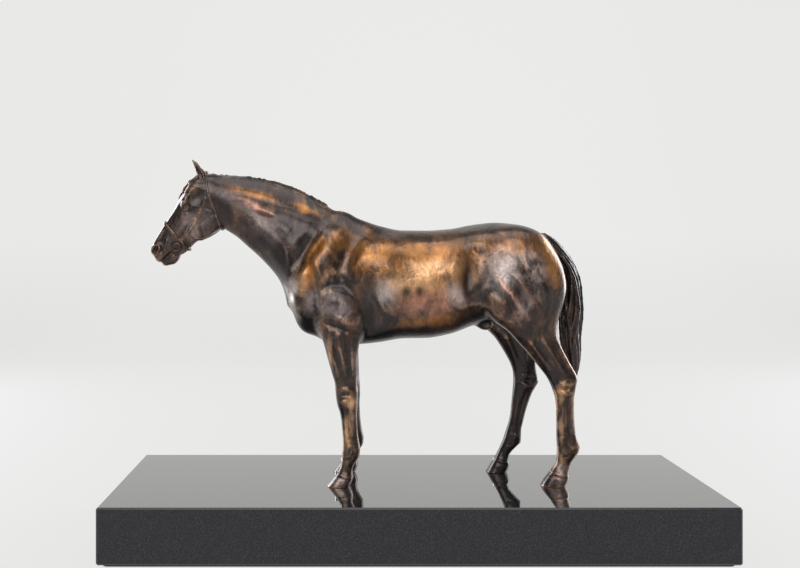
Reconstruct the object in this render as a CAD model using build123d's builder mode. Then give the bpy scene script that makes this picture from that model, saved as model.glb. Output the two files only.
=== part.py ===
"""A standing bronze horse in a bridle, bolted to a polished granite base.

Millimetres. +Z is up, the horse faces -X, and its left side is on -Y. The origin is the
centre of the base's underside. Stations are heights or distances on the horse as drawn,
260 mm tall at the withers, and are measured from the top of the base.
"""
from build123d import *
import os

os.makedirs("parts", exist_ok=True)

# ---- Base -------------------------------------------------------------------------------
base_length = 560
base_depth = 210
base_height = 50
base_chamfer = 1.5
felt_thickness = 2
felt_inset = 4
felt_corner_radius = 6
base_top = felt_thickness + base_height

# ---- Horse ------------------------------------------------------------------------------
withers_height = 260
drawn_withers_height = 260
k = withers_height / drawn_withers_height
bronze_wall = 4
off_fore_set_back = 5.5     # the right foreleg's hoof stands this far behind the left one's
off_fore_lean = 0.03        # and the leg leans back towards it by this much for each mm of height

# ---- Leg seams: a spigot on each leg enters a socket in the body ------------------------
fore_seam = 128
hind_seam = 134
spigot_height = 8
spigot_shoulder = 3.5
spigot_clearance = 0.15
socket_end_gap = 0.3
neck_seam = 100
head_spigot_radius = 5

# ---- Fixings: a stud in each hoof, with a washer and a nut in the base's underside ------
stud_radius = 3
stud_depth_in_hoof = 14
stud_tail = 2
thread_clearance = 0.05
base_hole_clearance = 0.6
counterbore_radius = 11
counterbore_depth = 22
washer_radius = 7
washer_clearance = 0.2
washer_thickness = 1.6
nut_across_flats = 10
nut_height = 5

# ---- Bridle -----------------------------------------------------------------------------
strap_width = 2.4
strap_thickness = 1.0
strap_gap = 0.1
ring_radius = 3.6
ring_wire_radius = 0.7
buckle_length = 5
buckle_width = 4.4
buckle_thickness = 0.9
buckle_rim = 0.9

# ---- Sections. Each row: station, low edge, high edge, middle across, half width --------
TORSO = [
    (-119.5, 172, 185, 0, 6),
    (-115, 160, 196, 0, 16),
    (-107, 149, 208, 0, 25),
    (-95, 139, 226, 0, 31),
    (-80, 133, 246, 0, 34),
    (-66, 130, 259, 0, 35),
    (-50, 131, 253, 0, 36.5),
    (-30, 133, 246, 0, 39),
    (-8, 136.5, 241.7, 0, 41.5),
    (15, 137, 241.5, 0, 43),
    (38, 141, 243, 0, 42),
    (60, 149, 247, 0, 39.5),
    (82, 155, 249, 0, 38.5),
    (100, 156, 248, 0, 38),
    (118, 158, 242.6, 0, 35),
    (132, 166, 233, 0, 27),
    (142, 178, 220, 0, 17),
    (147.5, 190, 206, 0, 7),
]
NECK = [
    (-24, -4, 10, 0, 4),
    (-15, -13, 19.5, 0, 10.5),
    (-4, -18, 25.3, 0, 13.5),
    (8, -20, 31, 0, 14.5),
    (20, -19.5, 36.5, 0, 15),
    (48, -22.3, 45.5, 0, 17.5),
    (76, -28.2, 49.8, 0, 22.5),
    (100, -38, 50.5, 0, 28.5),
    (116, -48, 51, 0, 31.5),
]
HEAD = [
    (-9, -10, -2, 0, 4),
    (-4, -17, 3, 0, 10),
    (3, -25, 7.6, 0, 13.5),
    (10, -31, 10.2, 0, 15.5),
    (22, -38, 11.4, 0, 16.8),
    (34, -39, 10.2, 0, 16),
    (46, -34, 8.6, 0, 13.4),
    (58, -28, 7.4, 0, 10.8),
    (70, -23.5, 6.4, 0, 9.8),
    (80, -21.5, 5, 0, 9.8),
    (88, -18, 1.2, 0, 8),
    (92, -12.5, -5, 0, 3.4),
]
FORELEG = [
    (0, -81.2, -59.5, -28, 10.4),
    (8.5, -74.3, -56.3, -28, 8.8),
    (14.5, -70.2, -56.8, -28, 6.6),
    (22, -67.8, -54, -28, 6.2),
    (32, -66.5, -49.8, -28, 7.3),
    (44, -66.3, -51, -27.9, 6),
    (60, -67.4, -52.6, -27.7, 5.7),
    (75, -71, -52.2, -27.5, 8),
    (86, -72.8, -51.8, -27.3, 8.7),
    (98, -74.2, -52.3, -27.2, 8.3),
    (112, -78.2, -52.3, -26.9, 9.8),
    (128, -82.8, -51.4, -26.6, 11.5),
    (146, -88.5, -47, -26, 13),
    (158, -90, -46, -25, 12.5),
    (172, -86, -48, -23, 9),
]
HINDLEG_LEFT = [
    (0, 120.9, 144.6, -27, 10.4),
    (8.5, 126, 147.6, -27, 9.2),
    (17.5, 132.6, 148.6, -27, 6.6),
    (25, 136, 152.4, -27, 6.4),
    (35, 136.4, 157.8, -27, 7.5),
    (47, 136, 154.8, -27, 6.3),
    (62, 136, 153, -26.8, 5.7),
    (78, 135.6, 152.5, -26.6, 6.6),
    (92, 132, 154, -26.5, 8.6),
    (104, 125.8, 155.2, -26.5, 8.1),
    (118, 114.6, 147, -26.6, 9.2),
    (134, 100.8, 139.2, -27, 11.2),
    (150, 85, 136.8, -27.5, 13.2),
    (168, 70.5, 140, -27.3, 15.8),
    (188, 70, 144.6, -26, 17.5),
    (208, 78, 141.5, -23, 17),
    (226, 90, 130, -17, 12),
]
HINDLEG_RIGHT = [
    (0, 77.4, 97.6, 28, 10.4),
    (8.5, 82.4, 100.8, 28, 9.2),
    (17, 87.6, 101, 28, 6.5),
    (25, 91.6, 107, 28, 6.5),
    (34, 95.2, 112.8, 28, 7.5),
    (46, 99.2, 113.8, 28, 6),
    (60, 102.3, 117.3, 28, 5.7),
    (76, 104, 122.4, 28, 6.7),
    (90, 105.2, 129.8, 28, 8.5),
    (102, 104.4, 128.2, 28, 8),
    (117, 97.8, 126.2, 28, 9),
    (134, 87, 126.4, 28, 11.2),
    (150, 71.5, 130, 27.8, 13.2),
    (168, 62, 136, 27.3, 15.8),
    (188, 65, 142, 26, 17.5),
    (208, 75, 140.5, 23, 17),
    (226, 88, 129, 17, 12),
]
TAIL = [
    (97, 158.8, 162, 0, 1.6),
    (106, 154.6, 163.8, 0, 4.4),
    (120, 149.2, 165.6, 0, 7.2),
    (136, 146.1, 165.7, 0, 9.2),
    (152, 145.4, 167.6, 0, 10.3),
    (166, 145.3, 168.2, 0, 10.6),
    (182, 145.5, 166.4, 0, 10.2),
    (196, 145.8, 164, 0, 9),
    (210, 142, 158.4, 0, 7.4),
    (222, 133.4, 150.4, 0, 6.2),
    (232, 125.4, 141.6, 0, 5),
    (239, 126, 131, 0, 2.5),
]
EAR = [
    (0, -4.6, 4.6, 0, 3),
    (6, -4.8, 4.8, 0, 3.2),
    (12, -3.7, 3.7, 0, 2.4),
    (17, -2.2, 2.2, 0, 1.5),
    (20.5, -0.6, 0.6, 0, 0.5),
]


def on_horse(x, z, y=0):
    """A point on the horse, given as drawn, in the part's frame."""
    return Vector(x * k, y * k, base_top + z * k)


def axis_plane(start, towards, facing=1):
    """A plane across a neck or head, whose normal runs from start towards a point.

    Its x lies in XZ: up the crest of the neck, or with a facing of -1 out of the face.
    """
    normal = (on_horse(*towards) - on_horse(*start)).normalized()
    across = normal.cross(Vector(0, facing, 0))
    return Plane(on_horse(*start), x_dir=across, z_dir=normal)


torso_plane = Plane(on_horse(0, 0), x_dir=(0, 0, 1), z_dir=(1, 0, 0))
leg_plane = Plane(on_horse(0, 0), x_dir=(1, 0, 0), z_dir=(0, 0, 1))
neck_plane = axis_plane((-190, 271), (-103.9, 220.2))
head_plane = axis_plane((-198.6, 291), (-257.15, 209.93), facing=-1)
head_seam_plane = axis_plane((-183.5, 270), (-173.6, 271.5))


def cross_sections(stations, plane, side=1, set_back=0, lean=0, grow=0):
    """One ellipse across each station. The side of -1 mirrors a leg to the horse's right."""
    sketches = []
    for station, low, high, middle, half_width in stations:
        shift = set_back - lean * station
        with BuildSketch(plane.offset(station * k)) as section:
            with Locations((((low + high) / 2 + shift) * k, side * middle * k)):
                Ellipse((high - low) / 2 * k + grow, half_width * k + grow)
        sketches.append(section.sketch)
    return sketches


def limb(stations, plane, mode=Mode.ADD, **placing):
    """A form that runs straight from each of its sections to the next."""
    loft(sections=cross_sections(stations, plane, **placing), ruled=True, mode=mode)


def between(stations, first, last):
    """The rows of a table from one station to another."""
    return [row for row in stations if first <= row[0] <= last]


LEGS = {
    "foreleg_left": dict(stations=FORELEG, seam=fore_seam, placing=dict()),
    "foreleg_right": dict(stations=FORELEG, seam=fore_seam,
                          placing=dict(side=-1, set_back=off_fore_set_back, lean=off_fore_lean)),
    "hindleg_left": dict(stations=HINDLEG_LEFT, seam=hind_seam, placing=dict()),
    "hindleg_right": dict(stations=HINDLEG_RIGHT, seam=hind_seam, placing=dict()),
}


def leg_row(leg, station):
    """Middle and half sizes of a leg's section at one of its stations."""
    row = next(row for row in leg["stations"] if row[0] == station)
    placing = leg["placing"]
    shift = placing.get("set_back", 0) - placing.get("lean", 0) * station
    x = ((row[1] + row[2]) / 2 + shift) * k
    y = placing.get("side", 1) * row[3] * k
    return x, y, (row[2] - row[1]) / 2 * k, row[4] * k


stud_places = [leg_row(leg, 0)[:2] for leg in LEGS.values()]

# ---- Granite base -----------------------------------------------------------------------
with BuildPart() as granite_base:
    with BuildSketch(Plane.XY.offset(felt_thickness)):
        Rectangle(base_length, base_depth)
    extrude(amount=base_height)
    chamfer(granite_base.edges(), base_chamfer)
    with Locations(Plane(origin=(0, 0, felt_thickness), x_dir=(1, 0, 0), z_dir=(0, 0, -1))):
        with Locations([(x, -y) for x, y in stud_places]):
            CounterBoreHole(stud_radius + base_hole_clearance, counterbore_radius, counterbore_depth)

# ---- Felt under the base ----------------------------------------------------------------
with BuildPart() as felt_base_cover:
    with BuildSketch():
        RectangleRounded(base_length - 2 * felt_inset, base_depth - 2 * felt_inset, felt_corner_radius)
    extrude(amount=felt_thickness)

# ---- Body casting: a hollow trunk with the tops of the legs and the root of the neck ----
with BuildPart() as body_casting:
    limb(TORSO, torso_plane)
    limb(between(NECK, neck_seam, 200), neck_plane)
    for leg in LEGS.values():
        top_rows = between(leg["stations"], leg["seam"], drawn_withers_height)
        limb(top_rows, leg_plane, **leg["placing"])
    limb(between(TORSO, -95, 118), torso_plane, grow=-bronze_wall, mode=Mode.SUBTRACT)
    limb(between(NECK, neck_seam, 200), neck_plane, grow=-bronze_wall, mode=Mode.SUBTRACT)
    for leg in LEGS.values():
        x, y, half_length, half_width = leg_row(leg, leg["seam"])
        inset = spigot_shoulder - spigot_clearance
        with BuildSketch(leg_plane.offset(leg["seam"] * k)):
            with Locations((x, y)):
                Ellipse(half_length - inset, half_width - inset)
        extrude(amount=spigot_height + socket_end_gap, mode=Mode.SUBTRACT)

# ---- Leg castings: solid, with a spigot at the top and a tapped hole in the hoof --------
leg_castings = {}
for name, leg in LEGS.items():
    x, y, half_length, half_width = leg_row(leg, leg["seam"])
    hoof_x, hoof_y = leg_row(leg, 0)[:2]
    with BuildPart() as leg_casting:
        lower_rows = between(leg["stations"], 0, leg["seam"])
        limb(lower_rows, leg_plane, **leg["placing"])
        with BuildSketch(leg_plane.offset(leg["seam"] * k)):
            with Locations((x, y)):
                Ellipse(half_length - spigot_shoulder, half_width - spigot_shoulder)
        extrude(amount=spigot_height)
        with BuildSketch(leg_plane):
            with Locations((hoof_x, hoof_y)):
                Circle(stud_radius + thread_clearance)
        extrude(amount=stud_depth_in_hoof + socket_end_gap, mode=Mode.SUBTRACT)
    leg_castings[name] = leg_casting.part

# ---- Head and neck: one modelled form, cut across the throat into two castings ----------
with BuildPart() as head_and_neck:
    limb(between(NECK, -24, neck_seam), neck_plane)
    limb(HEAD, head_plane)

with BuildPart() as neck_casting:
    add(head_and_neck.part)
    split(bisect_by=head_seam_plane, keep=Keep.TOP)
    limb(between(NECK, 20, neck_seam), neck_plane, grow=-bronze_wall, mode=Mode.SUBTRACT)
    with BuildSketch(head_seam_plane):
        Circle(head_spigot_radius + spigot_clearance)
    extrude(amount=spigot_height + socket_end_gap, mode=Mode.SUBTRACT)

with BuildPart() as head_casting:
    add(head_and_neck.part)
    split(bisect_by=head_seam_plane, keep=Keep.BOTTOM)
    with BuildSketch(head_seam_plane):
        Circle(head_spigot_radius)
    extrude(amount=spigot_height)
    for side in (-1, 1):
        ear_base = on_horse(-200.5, 289.5, side * 7)
        ear_tip = on_horse(-211, 308, side * 9.5)
        ear_plane = Plane(ear_base, x_dir=(0.86, 0, 0.5), z_dir=ear_tip - ear_base)
        limb(EAR, ear_plane)

# ---- Tail -------------------------------------------------------------------------------
with BuildPart() as tail_casting:
    limb(TAIL, leg_plane)
    add(body_casting.part, mode=Mode.SUBTRACT)

# ---- Bridle: bronze straps that follow the head -----------------------------------------
with BuildPart() as strap_outside:
    outside = strap_gap + strap_thickness
    limb(between(NECK, -15, 76), neck_plane, grow=outside)
    limb(HEAD, head_plane, grow=outside)

with BuildPart() as strap_inside:
    limb(between(NECK, -15, 76), neck_plane, grow=strap_gap)
    limb(HEAD, head_plane, grow=strap_gap)


def strap_run(first, last, overrun_first, overrun_last, half=0):
    """The slab that a strap lies in: it runs between two points in XZ, across the head.

    The overruns lengthen it past its points, and a half of -1 or 1 keeps one side of it.
    """
    start, end = on_horse(*first), on_horse(*last)
    run = end - start
    middle = (start - run.normalized() * overrun_first + end + run.normalized() * overrun_last) / 2
    length = run.length + overrun_first + overrun_last
    depth = 60 * k
    side_shift = half * depth / 2
    plane = Plane(middle + Vector(0, side_shift, 0), x_dir=run, z_dir=Vector(0, 1, 0).cross(run))
    return plane, length, depth


STRAPS = {
    "bridle_headpiece": strap_run((-198.8, 297), (-195.7, 277.4), 8, 0),
    "bridle_browband": strap_run((-213.2, 286.4), (-196.9, 279.8), 8, 0),
    "bridle_throatlash": strap_run((-194.9, 275.9), (-184.9, 247.7), 0, 8),
    "bridle_noseband": strap_run((-239.2, 249.3), (-217.1, 224.7), 8, 8),
    "bridle_cheekpiece_left": strap_run((-197.6, 273.4), (-219.2, 237.6), 0, 0, -1),
    "bridle_cheekpiece_right": strap_run((-197.6, 273.4), (-219.2, 237.6), 0, 0, 1),
}
straps = {}
for name, (plane, length, depth) in STRAPS.items():
    with BuildPart() as strap:
        add(strap_outside.part)
        with Locations(plane):
            Box(length, depth, strap_width, mode=Mode.INTERSECT)
        add(strap_inside.part, mode=Mode.SUBTRACT)
        add(head_casting.part, mode=Mode.SUBTRACT)
        for crossed in straps.values():
            add(crossed, mode=Mode.SUBTRACT)
    straps[name] = strap.part

# ---- Bit rings and buckles --------------------------------------------------------------
bit_rings = {}
for name, side in (("bit_ring_left", -1), ("bit_ring_right", 1)):
    with BuildPart() as bit_ring:
        ring_out = Vector(0, side * (ring_wire_radius + strap_gap), 0)
        ring_centre = on_horse(-226.6, 225.4, side * 9.6) + ring_out
        with Locations(Plane(ring_centre, x_dir=(1, 0, 0), z_dir=(0, 1, 0))):
            Torus(ring_radius, ring_wire_radius)
    bit_rings[name] = bit_ring.part

with BuildPart() as bridle_buckles:
    strap_rise = Vector(0, outside + strap_gap + buckle_thickness / 2, 0)
    for side in (-1, 1):
        place = on_horse(-207.4, 257, side * 16.6) + side * strap_rise
        with Locations(Plane(place, x_dir=(0.517, 0, 0.856), z_dir=(0, 1, 0))):
            Box(buckle_length, buckle_width, buckle_thickness)
            Box(buckle_length - 2 * buckle_rim, buckle_width - 2 * buckle_rim, buckle_thickness,
                mode=Mode.SUBTRACT)

# ---- Fixings ----------------------------------------------------------------------------
counterbore_seat = felt_thickness + counterbore_depth
nut_top = counterbore_seat - washer_thickness
stud_bottom = nut_top - nut_height - stud_tail

with BuildPart() as hoof_studs:
    with BuildSketch(Plane.XY.offset(stud_bottom)):
        with Locations(stud_places):
            Circle(stud_radius)
    extrude(amount=base_top + stud_depth_in_hoof - stud_bottom)

with BuildPart() as stud_washers:
    with BuildSketch(Plane.XY.offset(nut_top)):
        with Locations(stud_places):
            Circle(washer_radius)
            Circle(stud_radius + washer_clearance, mode=Mode.SUBTRACT)
    extrude(amount=washer_thickness)

with BuildPart() as stud_nuts:
    with BuildSketch(Plane.XY.offset(nut_top)):
        with Locations(stud_places):
            RegularPolygon(nut_across_flats / 2, 6, major_radius=False)
            Circle(stud_radius + thread_clearance, mode=Mode.SUBTRACT)
    extrude(amount=-nut_height)

# ---- Write the pieces -------------------------------------------------------------------
pieces = {
    "granite_base": granite_base.part,
    "felt_base_cover": felt_base_cover.part,
    "body_casting": body_casting.part,
    "neck_casting": neck_casting.part,
    "head_casting": head_casting.part,
    "tail_casting": tail_casting.part,
    **leg_castings,
    **straps,
    **bit_rings,
    "bridle_buckles": bridle_buckles.part,
    "hoof_studs": hoof_studs.part,
    "stud_washers": stud_washers.part,
    "stud_nuts": stud_nuts.part,
}
for name, piece in pieces.items():
    piece.label = name
    export_step(piece, f"parts/{name}.step")
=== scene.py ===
"""The looks of a patinated bronze horse on a polished black granite base.

The horse is sculpted in a block of signed distances: limbs run through elliptical sections,
muscles and bones are ellipsoids blended into them, and lines drawn in side view add relief.
Sculpting is in millimetres on the horse as drawn, 260 mm tall at the withers, measured from the
top of the base, facing -X with its left side on -Y. The meshes are then placed in the frame.
"""
import math
import random
import bpy
import bmesh
import numpy as np
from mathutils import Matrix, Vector


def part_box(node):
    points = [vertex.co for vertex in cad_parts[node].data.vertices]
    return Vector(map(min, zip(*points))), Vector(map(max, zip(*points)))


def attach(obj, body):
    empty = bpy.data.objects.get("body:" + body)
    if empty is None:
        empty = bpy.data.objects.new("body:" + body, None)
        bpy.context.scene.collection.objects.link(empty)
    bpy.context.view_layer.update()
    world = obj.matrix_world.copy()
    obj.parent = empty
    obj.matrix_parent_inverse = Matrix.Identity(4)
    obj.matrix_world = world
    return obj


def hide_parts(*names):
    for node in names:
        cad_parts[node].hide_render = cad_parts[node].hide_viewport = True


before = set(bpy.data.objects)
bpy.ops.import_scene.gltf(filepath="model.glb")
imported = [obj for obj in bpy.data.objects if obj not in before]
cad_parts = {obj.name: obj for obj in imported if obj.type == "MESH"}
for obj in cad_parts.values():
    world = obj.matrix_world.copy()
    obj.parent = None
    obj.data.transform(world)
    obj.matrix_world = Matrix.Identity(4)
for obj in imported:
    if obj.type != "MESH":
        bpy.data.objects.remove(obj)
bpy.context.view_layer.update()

# ---- Places taken from the frame --------------------------------------------------------
BASE_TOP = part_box("granite_base")[1][2]
DRAWN_BACK_HEIGHT = 263.7       # mm from the base to the top of the body casting, as drawn
SCALE = (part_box("body_casting")[1][2] - BASE_TOP) / DRAWN_BACK_HEIGHT      # metres for a drawn mm

# ---- Sections. Rows: station, low edge, high edge, widest place, half width, and how square
# the section is below and above its widest place (2 is an ellipse) ------------------------
TORSO = [
    (-117, 172, 188, 180, 6, 2, 2),
    (-113, 162, 197, 180, 15, 2, 2),
    (-105.5, 150, 209, 179, 23.5, 2.2, 2),
    (-95, 140.5, 226, 178, 30, 2.3, 1.8),
    (-80, 133, 245.5, 178, 33.5, 2.4, 1.6),
    (-66, 130.5, 258, 178, 34.5, 2.4, 1.45),
    (-50, 131, 252.8, 182, 36, 2.3, 1.5),
    (-30, 133, 246, 186, 39, 2.2, 1.7),
    (-8, 136.5, 241.7, 190, 41.5, 2.1, 1.9),
    (15, 137, 241.5, 192, 43, 2.1, 2),
    (38, 141, 243, 194, 42, 2.1, 2),
    (60, 149, 247, 198, 39.5, 2.1, 2),
    (82, 155, 249.2, 203, 37, 2.1, 2.1),
    (100, 156, 247.8, 205, 36.5, 2.1, 2.2),
    (118, 158, 242.6, 203, 33.5, 2.1, 2.2),
    (132, 166, 233, 200, 26, 2, 2.1),
    (142, 178, 220, 197, 16, 2, 2),
    (147, 190, 206, 197, 7, 2, 2),
]
NECK_START, NECK_RUN = (-190, 271), (0.861, -0.508)
NECK = [
    (-24, -4, 9, 4, 4, 2, 2),
    (-15, -13, 18.5, 5, 10.5, 2, 2),
    (-4, -18, 25, 4, 13.5, 2.1, 1.9),
    (8, -20, 31, 3, 14.5, 2.1, 1.75),
    (20, -19.7, 36.6, 3, 15, 2.2, 1.65),
    (34, -20, 41.8, 4, 16, 2.2, 1.6),
    (48, -22.5, 45.6, 5, 17.5, 2.2, 1.55),
    (62, -25.2, 48.4, 5, 19.5, 2.2, 1.5),
    (76, -28.8, 49.6, 4, 22.5, 2.2, 1.5),
    (88, -33, 50, 2, 25.5, 2.2, 1.5),
    (98, -38.3, 50.2, -2, 28, 2.2, 1.5),
    (107, -45, 50.3, -6, 30, 2.2, 1.5),
    (118, -54, 50, -8, 31, 2.2, 1.5),
    (130, -54, 45, -9, 27, 2.2, 1.6),
    (142, -44, 34, -9, 17, 2.2, 1.8),
    (152, -24, 14, -8, 4, 2, 2),
]
HEAD_START, HEAD_RUN = (-198.6, 291), (-0.5855, -0.8107)
HEAD = [
    (-9, -10, -2, -6, 4, 2, 2),
    (-4, -17, 3, -6, 9.5, 2, 2),
    (3, -25, 7.4, -6, 12.5, 2.2, 2.2),
    (10, -31, 9.8, -5, 14, 2.3, 2.3),
    (18, -36, 10.8, -4, 14.8, 2.3, 2.4),
    (26, -38.6, 10.7, -2.5, 14.6, 2.2, 2.5),
    (34, -38.6, 9.8, -2, 13.6, 2.1, 2.4),
    (42, -36, 8.8, -2.5, 12, 2, 2.3),
    (50, -31.5, 8, -3.5, 10.8, 2, 2.2),
    (58, -27.2, 7.2, -4.5, 9.8, 2.1, 2.2),
    (66, -23.2, 6.6, -5.5, 9, 2.2, 2.2),
    (74, -18.5, 5.9, -6, 8.8, 2.3, 2.2),
    (80, -15.5, 4.9, -6, 9, 2.4, 2.3),
    (85, -14, 3.4, -6.5, 8.6, 2.4, 2.3),
    (89, -12.5, 0.4, -7.5, 6.6, 2.2, 2.2),
    (91.6, -10, -4.5, -8, 3, 2, 2),
]
# Legs. Rows: height, front, back, middle across, half width, how square
FORELEG = [
    (172, -86, -48, -23, 9, 2.2),
    (158, -91, -46, -25, 12.5, 2.2),
    (146, -88.5, -47, -26, 13, 2.2),
    (133, -84, -50.5, -26.5, 12, 2.2),
    (119, -80.2, -52.3, -26.8, 10.4, 2.2),
    (105, -76.2, -52.3, -27, 8.8, 2.2),
    (96, -73.6, -52.3, -27.2, 8, 2.3),
    (88, -73, -51.8, -27.3, 8.3, 2.5),
    (81, -72.2, -51.8, -27.4, 8.5, 2.6),
    (75, -71, -52.2, -27.5, 7.8, 2.5),
    (69, -69, -52.7, -27.6, 6.5, 2.3),
    (60, -67.4, -52.6, -27.7, 5.5, 2.2),
    (50, -66.6, -52, -27.8, 5.3, 2.2),
    (42, -66.2, -50.8, -27.9, 6, 2.2),
    (35, -66.3, -49.7, -28, 7, 2.3),
    (29, -66.9, -50.2, -28, 7, 2.2),
    (24, -67.4, -53, -28, 6.2, 2.2),
    (19, -68.2, -55.6, -28, 5.9, 2.2),
    (14.5, -70.2, -56.8, -28, 6.5, 2.3),
    (11, -72.4, -56.6, -28, 7.9, 2.4),
    (8.5, -74.3, -56.3, -28, 8.7, 2.4),
    (4, -77.9, -57.6, -28, 9.6, 2.4),
    (0, -81.2, -59.5, -28, 10.3, 2.4),
]
OFF_FORE_SET_BACK, OFF_FORE_LEAN = 5.5, 0.03
HINDLEG_LEFT = [
    (232, 96, 122, -14, 10, 2.2),
    (218, 84, 136, -20, 16, 2.2),
    (204, 76, 142, -24, 17, 2.2),
    (188, 70, 144.2, -26, 17, 2.2),
    (174, 69, 141.6, -27, 16.2, 2.2),
    (162, 73, 138.6, -27.5, 14.8, 2.2),
    (152, 83, 136.8, -27.5, 13.2, 2.2),
    (143, 92.5, 136.6, -27.3, 12, 2.2),
    (134, 100.8, 139.2, -27, 11, 2.2),
    (126, 108, 142.8, -26.8, 10, 2.2),
    (118, 114.6, 147, -26.6, 9, 2.2),
    (111, 120.4, 151, -26.5, 8.2, 2.3),
    (105, 125.2, 154.6, -26.5, 7.8, 2.4),
    (101, 127.8, 155.6, -26.5, 7.9, 2.5),
    (95, 130.8, 154.6, -26.5, 8.4, 2.6),
    (89, 133, 153.4, -26.5, 8.4, 2.5),
    (82, 135, 152.6, -26.5, 7, 2.3),
    (73, 135.8, 152.5, -26.7, 5.8, 2.2),
    (60, 136, 153, -26.8, 5.5, 2.2),
    (50, 136, 154, -27, 5.8, 2.2),
    (43, 136.1, 156, -27, 6.6, 2.2),
    (37, 136.4, 157.8, -27, 7.3, 2.2),
    (32, 136.4, 157, -27, 7.1, 2.2),
    (27, 136.2, 153.6, -27, 6.4, 2.2),
    (22, 135.4, 150, -27, 6.1, 2.2),
    (17.5, 132.6, 148.6, -27, 6.5, 2.3),
    (12.5, 129.2, 147.4, -27, 8.1, 2.4),
    (8.5, 126, 147.6, -27, 9.1, 2.4),
    (4, 122.8, 146.4, -27, 9.7, 2.4),
    (0, 120.9, 144.6, -27, 10.3, 2.4),
]
HINDLEG_RIGHT = [
    (232, 96, 122, 14, 10, 2.2),
    (218, 82, 136, 20, 16, 2.2),
    (204, 73, 141, 24, 17, 2.2),
    (188, 65, 141.6, 26, 17, 2.2),
    (174, 61.5, 137.6, 27, 16.2, 2.2),
    (162, 63, 133.6, 27.5, 14.8, 2.2),
    (152, 69.5, 130.2, 27.8, 13.2, 2.2),
    (143, 78.2, 127.8, 28, 12, 2.2),
    (134, 87, 126.4, 28, 11, 2.2),
    (126, 92.4, 125.8, 28, 10, 2.2),
    (117, 97.8, 126.2, 28, 8.8, 2.2),
    (109, 102, 127.2, 28, 8, 2.3),
    (101, 104.6, 128.4, 28, 7.7, 2.4),
    (95, 105.2, 129.6, 28, 7.9, 2.5),
    (91, 105.2, 129.9, 28, 8.3, 2.6),
    (86, 104.9, 127.6, 28, 8.4, 2.5),
    (80, 104.3, 124.2, 28, 7.2, 2.3),
    (70, 103.3, 120.4, 28, 5.9, 2.2),
    (59, 102.2, 117, 28, 5.5, 2.2),
    (50, 100.4, 114.8, 28, 5.6, 2.2),
    (42, 97.9, 113, 28, 6.4, 2.2),
    (36, 96, 112.8, 28, 7.2, 2.2),
    (30.5, 94, 112.6, 28, 7.1, 2.2),
    (26, 92, 108.6, 28, 6.4, 2.2),
    (21.5, 90, 104.2, 28, 6.1, 2.2),
    (17, 87.6, 101, 28, 6.4, 2.3),
    (12.5, 85, 100.2, 28, 7.9, 2.4),
    (8.5, 82.4, 100.8, 28, 9.1, 2.4),
    (4, 79.9, 99.9, 28, 9.7, 2.4),
    (0, 77.4, 97.6, 28, 10.3, 2.4),
]
TAIL = [
    (239, 126, 131, 0, 2.5, 2),
    (234, 124.5, 139, 0, 4.5, 2),
    (228, 127, 145.8, 0, 5.6, 2),
    (221, 134, 151, 0, 6.2, 2),
    (212, 141, 157, 0, 6.9, 2),
    (202, 145.4, 161.2, 0, 7.9, 2),
    (192, 146.2, 164.4, 0, 8.9, 2.1),
    (180, 146, 165.6, 0, 9.6, 2.2),
    (165, 145.8, 167.4, 0, 10, 2.2),
    (154, 145.9, 167, 0, 9.8, 2.2),
    (144, 146.2, 165.4, 0, 9.2, 2.2),
    (134, 146.8, 164.6, 0, 8.4, 2.2),
    (124, 148.6, 165, 0, 7.2, 2.2),
    (114, 151.8, 164.4, 0, 5.8, 2.1),
    (105, 155.6, 163.2, 0, 3.9, 2),
    (99, 158.2, 162.2, 0, 2.2, 2),
    (95.5, 159.8, 161.2, 0, 0.8, 2),
]

# ---- Muscles and bones. Rows: x, y, z, three radii, tilt in XZ in degrees, blend. Where y is
# not 0 there is one on each side -----------------------------------------------------------
TORSO_FORMS = [
    (-87, 17, 206, 17, 15, 36, -24, 15),     # shoulder blade
    (-102, 19, 169, 10, 11.5, 12, 0, 8),     # point of the shoulder
    (-70, 27, 171, 22, 12.5, 15, -22, 6),    # triceps
    (-55, 30, 160, 10, 8, 9, 0, 5),          # elbow
    (-99, 9, 158, 12.5, 11, 16, 12, 7),      # breast
    (-30, 21, 205, 30, 20, 26, 0, 14),       # ribs behind the shoulder
    (66, 21, 228, 13, 9, 8, 0, 15),          # point of the hip
    (104, 19, 222, 30, 19, 22, -12, 9),      # croup
    (116, 24, 194, 24, 18, 34, 12, 8),       # thigh
    (132, 17, 186, 11, 13, 30, 6, 7),        # buttock
    (84, 27, 170, 13, 12, 16, 25, 6),        # stifle
    (-84, 12, 152, 13, 10, 11, 0, 6),        # inner breast
    (72, 0, 151, 9, 7, 6.5, -14, 5),         # sheath
]
HOLLOWS = [
    (52, 45, 206, 8, 9, 24, -8, 8),          # flank
    (-40, 42, 158, 7, 8, 22, -6, 6),         # behind the elbow
    (-101, 33, 222, 9, 9, 24, -36, 8),       # before the shoulder blade
]


def on_head(t, v):
    """A place in side view from its distance down the head and out from its axis."""
    (x, z), (ux, uz) = HEAD_START, HEAD_RUN
    return x + t * ux + v * uz, z + t * uz - v * ux


HEAD_TILT = math.degrees(math.atan2(HEAD_RUN[1], HEAD_RUN[0]))

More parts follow.
